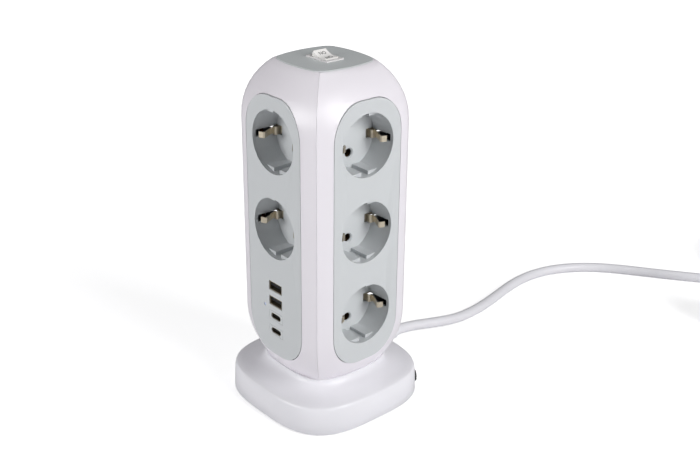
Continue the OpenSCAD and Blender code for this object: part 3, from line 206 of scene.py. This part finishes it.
white_abs = plastic("white_abs", (236, 232, 238), gloss=0.36)
base_abs = plastic("base_abs", (238, 237, 242), gloss=0.34)
panel_abs = plastic("panel_abs", (205, 208, 210), gloss=0.42, grain=0.12)
cap_abs = plastic("cap_abs", (200, 204, 205), gloss=0.42, grain=0.12)
rocker_abs = plastic("rocker_abs", (250, 248, 246), gloss=0.25)
frame_abs = plastic("frame_abs", (226, 224, 224), gloss=0.42)
black_abs = plastic("black_abs", (26, 26, 28), gloss=0.42)
inner_abs = plastic("inner_abs", (214, 214, 210), gloss=0.5)
plug_abs = plastic("plug_abs", (233, 232, 237), gloss=0.4, grain=0.15)
print_ink = plastic("print_ink", (42, 42, 46), gloss=0.5, drift=0.1)
sheath = plastic("sheath", (232, 231, 236), gloss=0.44, grain=0.2, size=900.0)
tie_nylon = plastic("tie_nylon", (222, 221, 226), gloss=0.4)
foot_rubber = plastic("foot_rubber", (58, 58, 60), gloss=0.8, grain=0.4, size=1500.0)
lens_clear = plastic("lens_clear", (198, 210, 236), gloss=0.12, drift=0.02, grain=0.0)
board_mask = plastic("board_mask", (40, 98, 62), gloss=0.3, drift=0.3)
coil_tape = plastic("coil_tape", (214, 176, 60), gloss=0.35, drift=0.1)
wire_brown = plastic("wire_brown", (118, 74, 44), gloss=0.4)
wire_black = plastic("wire_black", (42, 42, 46), gloss=0.4)
wire_blue = plastic("wire_blue", (52, 104, 178), gloss=0.4)
wire_earth = plastic("wire_earth", (148, 178, 52), gloss=0.4)
port_black = plastic("port_black", (5, 5, 6), gloss=0.75, grain=0.04)
# Steel of the USB-A shells, darker than the nickel of the USB-C shells: painted shade for the
# dark inside of the USB-A ports
port_steel_painted_shade = metal("port_steel_painted_shade", (176, 164, 142), gloss=0.42, tarnish=(104, 92, 76), share=0.4)
nickel = metal("nickel", (206, 196, 176), gloss=0.25, share=0.35)
# Brass of the buses and terminals, far darker than bright brass, with heavy dark tarnish: painted
# shade for the shade down the pin holes, where these contacts are seen
brass = metal("brass", (92, 70, 44), gloss=0.45, tarnish=(44, 34, 26), share=0.6)
steel = metal("steel", (172, 174, 178), gloss=0.32, share=0.15)

# Finish of each CAD node
FINISHES = {
    "right_shell": white_abs, "left_shell": white_abs, "top_cap": cap_abs,
    "right_socket_panel": panel_abs, "back_socket_panel": panel_abs,
    "left_socket_panel": panel_abs, "front_port_panel": panel_abs,
    "right_socket_wells": panel_abs, "back_socket_wells": panel_abs,
    "left_socket_wells": panel_abs, "front_socket_wells": panel_abs, "board_posts": panel_abs,
    "earth_clips": nickel, "live_bus": brass, "neutral_bus": brass, "earth_bus": brass,
    "inner_spine": inner_abs, "port_a_shells": port_steel_painted_shade, "port_a_tongues": port_black,
    "port_c_surrounds": panel_abs, "port_c_shells": nickel, "port_c_tongues": port_black,
    "charger_board": board_mask, "charger_transformer": coil_tape,
    "charger_capacitors": black_abs, "indicator_lens": lens_clear, "switch_frame": frame_abs,
    "rocker": rocker_abs, "switch_terminals": brass, "base_cover": base_abs,
    "base_plate": base_abs, "rubber_feet": foot_rubber, "base_screws": steel,
    "tower_screws": steel, "base_weight": steel, "breaker_body": black_abs,
    "reset_button": black_abs, "breaker_terminals": brass, "live_in_lead": wire_brown,
    "live_up_lead": wire_black, "live_down_lead": wire_brown, "neutral_lead": wire_blue,
    "earth_lead": wire_earth, "lead_clamp": inner_abs, "clamp_screws": steel,
    "strain_relief": sheath, "coil_tie": tie_nylon, "plug_boot": sheath,
    "plug_body": plug_abs, "plug_pins": nickel, "plug_earth_contact": nickel,
}


# Camera, as it fits the photograph: its place in millimetres, its turn, and its focal length
# in pixels of the image
CAMERA_AT = (493.4, -407.8, 401.7)
CAMERA_AZIMUTH = math.radians(48.98)
CAMERA_ELEVATION = math.radians(24.17)
CAMERA_ROLL = math.radians(0.57)
FOCAL_PIXELS = 1093.7
IMAGE_WIDTH = 700
SENSOR_WIDTH = 36

# What the camera sees, in metres from it
SEEN_FROM = 0.01
SEEN_TO = 50


def add_camera():
    flat = math.cos(CAMERA_ELEVATION)
    back = Vector((math.sin(CAMERA_AZIMUTH) * flat, -math.cos(CAMERA_AZIMUTH) * flat,
                   math.sin(CAMERA_ELEVATION)))
    right = Vector((math.cos(CAMERA_AZIMUTH), math.sin(CAMERA_AZIMUTH), 0))
    up = back.cross(right)
    rolled_right = math.cos(CAMERA_ROLL) * right + math.sin(CAMERA_ROLL) * up
    rolled_up = math.cos(CAMERA_ROLL) * up - math.sin(CAMERA_ROLL) * right
    data = bpy.data.cameras.new("camera")
    data.lens = FOCAL_PIXELS * SENSOR_WIDTH / IMAGE_WIDTH
    data.sensor_width = SENSOR_WIDTH
    data.clip_start = SEEN_FROM
    data.clip_end = SEEN_TO
    camera = bpy.data.objects.new("camera", data)
    bpy.context.scene.collection.objects.link(camera)
    turn = Matrix((rolled_right, rolled_up, back)).transposed()
    camera.matrix_world = Matrix.Translation(mm(*CAMERA_AT)) @ turn.to_4x4()
    bpy.context.scene.camera = camera


# Lamps: the place that they point at, and each one's name, place, size and power, in metres
# and watts
LAMP_AIM = (0, 0, 0.12)
LAMPS = [
    ("key_softbox", (1.25, 0.24, 0.71), (0.6, 0.8), 15.5),
    ("fill_softbox", (-0.37, -1.3, 0.48), (0.7, 0.5), 11.0),
    ("top_softbox", (-0.15, 0.41, 1.45), (0.8, 0.8), 5.0)]

# World and floor
WORLD_TONE = (0.97, 0.98, 1, 1)
WORLD_LIGHT = 0.04
WHITE = (1, 1, 1, 1)
FLOOR_TONE = (0.8, 0.8, 0.81, 1)
FLOOR_HALF = 6

# The floor's glow, which only the camera sees: how strong it is at the object, and the
# distances from it, in metres, between which it rises to white
GLOW_AT_OBJECT = 0.6
GLOW_NEAR = 0.16
GLOW_FAR = 0.9


def add_lamp(name, spot, size, power):
    data = bpy.data.lights.new(name, "AREA")
    data.shape = "RECTANGLE"
    data.size, data.size_y = size
    data.energy = power
    lamp = bpy.data.objects.new(name, data)
    bpy.context.scene.collection.objects.link(lamp)
    lamp.location = spot
    lamp.rotation_euler = (Vector(LAMP_AIM) - Vector(spot)).to_track_quat("-Z", "Y").to_euler()


def add_world():
    """A dim world that the camera sees as plain white."""
    world = bpy.data.worlds.new("studio")
    bpy.context.scene.world = world
    world.use_nodes = True
    tree = world.node_tree
    light = tree.nodes["Background"]
    light.inputs["Color"].default_value = WORLD_TONE
    light.inputs["Strength"].default_value = WORLD_LIGHT
    white = add(tree, "ShaderNodeBackground", in_Color=WHITE, in_Strength=1.0)
    path = add(tree, "ShaderNodeLightPath")
    mix = add(tree, "ShaderNodeMixShader")
    tree.links.new(path.outputs["Is Camera Ray"], mix.inputs[0])
    tree.links.new(light.outputs[0], mix.inputs[1])
    tree.links.new(white.outputs[0], mix.inputs[2])
    tree.links.new(mix.outputs[0], tree.nodes["World Output"].inputs[0])


def floor_paper():
    """Pale paper that keeps the object's shadow and turns white away from it."""
    material = bpy.data.materials.new("floor_paper")
    material.use_nodes = True
    tree = material.node_tree
    paper = tree.nodes["Principled BSDF"]
    paper.inputs["Base Color"].default_value = FLOOR_TONE
    paper.inputs["Roughness"].default_value = 0.9
    paper.inputs["Specular IOR Level"].default_value = 0.1
    place = add(tree, "ShaderNodeTexCoord")
    away = add(tree, "ShaderNodeVectorMath", operation="LENGTH")
    tree.links.new(place.outputs["Object"], away.inputs[0])
    lift = add(tree, "ShaderNodeMapRange", interpolation_type="SMOOTHSTEP", in_From_Min=GLOW_NEAR,
               in_From_Max=GLOW_FAR, in_To_Min=GLOW_AT_OBJECT, in_To_Max=1.0)
    tree.links.new(away.outputs["Value"], lift.inputs["Value"])
    path = add(tree, "ShaderNodeLightPath")
    level = add(tree, "ShaderNodeMath", operation="MULTIPLY")
    tree.links.new(path.outputs["Is Camera Ray"], level.inputs[0])
    tree.links.new(lift.outputs["Result"], level.inputs[1])
    glow = add(tree, "ShaderNodeEmission")
    tree.links.new(level.outputs[0], glow.inputs["Strength"])
    both = add(tree, "ShaderNodeAddShader")
    tree.links.new(paper.outputs[0], both.inputs[0])
    tree.links.new(glow.outputs[0], both.inputs[1])
    tree.links.new(both.outputs[0], tree.nodes["Material Output"].inputs[0])
    return material


def add_floor():
    bm = bmesh.new()
    bmesh.ops.create_grid(bm, x_segments=1, y_segments=1, size=FLOOR_HALF)
    mesh = bpy.data.meshes.new("floor")
    bm.to_mesh(mesh)
    bm.free()
    mesh.materials.append(floor_paper())
    floor = bpy.data.objects.new("floor", mesh)
    bpy.context.scene.collection.objects.link(floor)


# Mouldings: the widths of their eased edges, in millimetres
SHELL_EDGE = 0.25
PANEL_EDGE = 0.25
CAP_EDGE = 0.12
ROCKER_EDGE = 0.18

# Angles between faces, in degrees: where an edge stays sharp, where it is eased, and below
# which it is dissolved
SHARP = 30.0
COVER_SHARP = 40.0
INK_SHARP = 35.0
EASED = 50.0
FLAT_WITHIN = 0.3

# Points this close are merged, in metres
MERGED_WITHIN = 1e-6
INK_MERGED_WITHIN = 1e-7


def put(name, bm, body, material, sharp):
    """Turns a bmesh into a piece of one material that rides on a body."""
    mesh = bpy.data.meshes.new(name)
    bm.to_mesh(mesh)
    bm.free()
    piece = bpy.data.objects.new(name, mesh)
    bpy.context.scene.collection.objects.link(piece)
    mesh.materials.append(material)
    for face in mesh.polygons:
        face.use_smooth = True
    mesh.set_sharp_from_angle(angle=math.radians(sharp))
    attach(piece, body)
    return piece


def softened(node, body, width=0.0, sharp=SHARP):
    """A merged copy of a CAD node, smooth over its curves and with eased edges."""
    bm = bmesh.new()
    bm.from_mesh(nodes[node].data)
    bmesh.ops.remove_doubles(bm, verts=bm.verts, dist=MERGED_WITHIN)
    bmesh.ops.dissolve_limit(bm, angle_limit=math.radians(FLAT_WITHIN), verts=bm.verts,
                             edges=bm.edges)
    piece = put(node + "_skin", bm, body, FINISHES[node], sharp)
    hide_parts(node)
    if width:
        ease = piece.modifiers.new("eased_edges", "BEVEL")
        ease.width = width * MM
        ease.segments = 2
        ease.limit_method = "ANGLE"
        ease.angle_limit = math.radians(EASED)
        ease.harden_normals = True


# Rocker: its pivot, its tilt at rest and the curve of its top, in millimetres
PIVOT_Z = 228.0
ROCKER_TILT = math.radians(13)
ROCKER_HALF = 6.1
ROCKER_DIP = 3.2
ROCKER_RISE = 1.3
INK_LIFT = 0.02
INK_FILM = 0.03
INK_STRIPS = 6

# Words on the rocker: how far along it, how wide and how high, in millimetres
WORDS = {"ON": (-3.0, 4.9, 2.5), "OFF": (2.8, 5.6, 2.8)}


def rocker_top(along, across):
    """A point on the rocker's hollow top, along it from the pivot and across it."""
    lift = ROCKER_DIP + ROCKER_RISE * (along / ROCKER_HALF) ** 2
    return mm(along * math.cos(ROCKER_TILT) + lift * math.sin(ROCKER_TILT), across,
              PIVOT_Z - along * math.sin(ROCKER_TILT) + lift * math.cos(ROCKER_TILT))


def printed_word(word, along, width, height):
    """A generic word printed across the rocker, read from its raised end."""
    curve = bpy.data.curves.new("printed_" + word, "FONT")
    curve.body = word
    text = bpy.data.objects.new("printed_" + word, curve)
    bpy.context.scene.collection.objects.link(text)
    bm = bmesh.new()
    bm.from_mesh(text.to_mesh())
    bpy.data.objects.remove(text)
    low = Vector(min(v.co[i] for v in bm.verts) for i in range(2))
    high = Vector(max(v.co[i] for v in bm.verts) for i in range(2))
    for v in bm.verts:
        v.co.x = ((v.co.x - low.x) / (high.x - low.x) - 0.5) * width
        v.co.y = ((v.co.y - low.y) / (high.y - low.y) - 0.5) * height
    for strip in range(1, INK_STRIPS):
        bmesh.ops.bisect_plane(bm, geom=bm.verts[:] + bm.edges[:] + bm.faces[:],
                               plane_co=(0, (strip / INK_STRIPS - 0.5) * height, 0),
                               plane_no=(0, 1, 0))
    for v in bm.verts:
        v.co = rocker_top(along + v.co.y, -v.co.x) + mm(0, 0, INK_LIFT)
    bmesh.ops.remove_doubles(bm, verts=bm.verts, dist=INK_MERGED_WITHIN)
    piece = put("rocker_print_" + word.lower(), bm, "rocker", print_ink, INK_SHARP)
    film = piece.modifiers.new("ink_film", "SOLIDIFY")
    film.thickness = INK_FILM * MM
    film.offset = 1


# Mains lead: its route in millimetres, as in the CAD model, with heights of its underside
CORD_D = 7.6
FREE_STRETCH = [
    (-13, 76, 5.8), (-13, 84, 5.8), (-11.2, 96, 4.8), (-8.4, 109, 3.3), (-5.8, 122, 1.9),
    (-4.4, 134, 0.8), (-4.6, 147, 0.2), (-6.2, 162, 0), (-9, 177, 0), (-12.4, 192, 0),
    (-15.6, 207, 0), (-17.4, 222, 0), (-17, 237, 0), (-13.8, 252, 0), (-7.8, 266, 0),
    (0.8, 279, 0), (11.6, 290.5, 0), (24, 300.5, 0), (37.4, 310, 0), (51.2, 319.6, 0),
    (65, 329.6, 0), (79, 340, 0.1), (93, 350.5, 0.5), (107, 361, 0.8), (114.8, 366.85, 0.8),
    (122.6, 372.7, 0.8)]
STEPS_BETWEEN = 4
TUBE_RESOLUTION = 6

# Coil: two layers of turns, wound inwards below and outwards above. The lead runs into it
# along COIL_WAY_IN, and COIL_EASE is the share of a turn either side of the change of layer
COIL_WAY_IN = Vector((0.8, 0.6))
COIL_IN = 29.6
COIL_PITCH = CORD_D + 0.7
COIL_LIFT = CORD_D / 2 + 0.8
COIL_TOP = COIL_LIFT + COIL_PITCH
COIL_ENDS_AT = math.tau * 5.75
COIL_STEPS = 288
COIL_EASE = 0.25

# Bend from the coil down to the plug's boot
PLUG_BEND = 31.0
PLUG_STRAIGHT = 2.0
PLUG_Z = 9.5
BEND_STEPS = 24


def eased(share):
    """A share from 0 to 1 that starts and ends gently."""
    return share * share * (3 - 2 * share)


def coil_places():
    """The coil's points in order; it leaves at its lowest y, along +X."""
    start = Vector(FREE_STRETCH[-1][:2])
    first = math.atan2(-COIL_WAY_IN.x, COIL_WAY_IN.y)
    turned = COIL_ENDS_AT - first
    turns = turned / math.tau / 2
    out_r = COIL_IN + COIL_PITCH * turns
    centre = start + CORD_D * COIL_WAY_IN + out_r * Vector((-COIL_WAY_IN.y, COIL_WAY_IN.x))
    points = []
    for i in range(COIL_STEPS + 1):
        u = turns * (2 * i / COIL_STEPS - 1)
        off = abs(u) if abs(u) > COIL_EASE else u * u / (2 * COIL_EASE) + COIL_EASE / 2
        r = COIL_IN + COIL_PITCH * off
        climb = min(max((u + COIL_EASE) / (2 * COIL_EASE), 0), 1)
        a = first + turned * i / COIL_STEPS
        points.append(Vector((centre.x + r * math.cos(a), centre.y + r * math.sin(a),
                              COIL_LIFT + COIL_PITCH * eased(climb))))
    return points


def rounded(points):
    """A smooth line through points, with even steps between each two."""
    line = []
    last = len(points) - 1
    for i in range(last):
        a, b, c, d = (points[min(max(k, 0), last)] for k in range(i - 1, i + 3))
        for k in range(STEPS_BETWEEN):
            t = k / STEPS_BETWEEN
            line.append(0.5 * (2 * b + (c - a) * t + (2 * a - 5 * b + 4 * c - d) * t * t
                               + (3 * b - a - 3 * c + d) * t ** 3))
    return line + [points[-1]]


def plug_bend(x, y):
    """From the coil's end at x and y: a quarter turn to -Y that comes down to the boot."""
    bend = [Vector((x, y, COIL_TOP))]
    for i in range(BEND_STEPS + 1):
        a = math.pi / 2 * i / BEND_STEPS
        fall = eased(max(0, 2 * i / BEND_STEPS - 1))
        bend.append(Vector((x + PLUG_STRAIGHT + PLUG_BEND * math.sin(a),
                            y - PLUG_BEND * (1 - math.cos(a)),
                            COIL_TOP + (PLUG_Z - COIL_TOP) * fall)))
    bend.append(Vector((x + PLUG_STRAIGHT + PLUG_BEND, y - PLUG_BEND - PLUG_STRAIGHT, PLUG_Z)))
    return bend


def mains_lead():
    """The lead from the strain relief to the plug's boot, with its length in metres."""
    coil = coil_places()
    route = rounded([Vector((x, y, under + CORD_D / 2)) for x, y, under in FREE_STRETCH])
    route += coil + plug_bend(coil[-1].x + CORD_D, coil[-1].y)
    data = bpy.data.curves.new("mains_lead", "CURVE")
    data.dimensions = "3D"
    data.bevel_depth = CORD_D / 2 * MM
    data.bevel_resolution = TUBE_RESOLUTION
    data.use_fill_caps = True
    spline = data.splines.new("POLY")
    spline.points.add(len(route) - 1)
    for point, place in zip(spline.points, route):
        point.co = (*(place * MM), 1)
    spline.use_smooth = True
    lead = bpy.data.objects.new("mains_lead", data)
    bpy.context.scene.collection.objects.link(lead)
    data.materials.append(sheath)
    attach(lead, "tower")
    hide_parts("power_cord", "cord_coil", "plug_lead")
    length = sum((a - b).length for a, b in zip(route, route[1:])) * MM
    return lead, length


add_camera()
add_world()
add_floor()
for lamp in LAMPS:
    add_lamp(*lamp)
lead, lead_length = mains_lead()

for node, finish in FINISHES.items():
    data = nodes[node].data
    data.materials.clear()
    data.materials.append(finish)

for node in ("right_shell", "left_shell"):
    softened(node, "tower", SHELL_EDGE)
softened("top_cap", "tower", CAP_EDGE)
softened("base_cover", "tower", sharp=COVER_SHARP)
softened("rocker", "rocker", ROCKER_EDGE)
for word, (along, width, height) in WORDS.items():
    printed_word(word, along, width, height)
for node in ("right_socket_panel", "back_socket_panel", "left_socket_panel", "front_port_panel"):
    softened(node, "tower", PANEL_EDGE)

bpy.context.scene.view_settings.view_transform = "Standard"
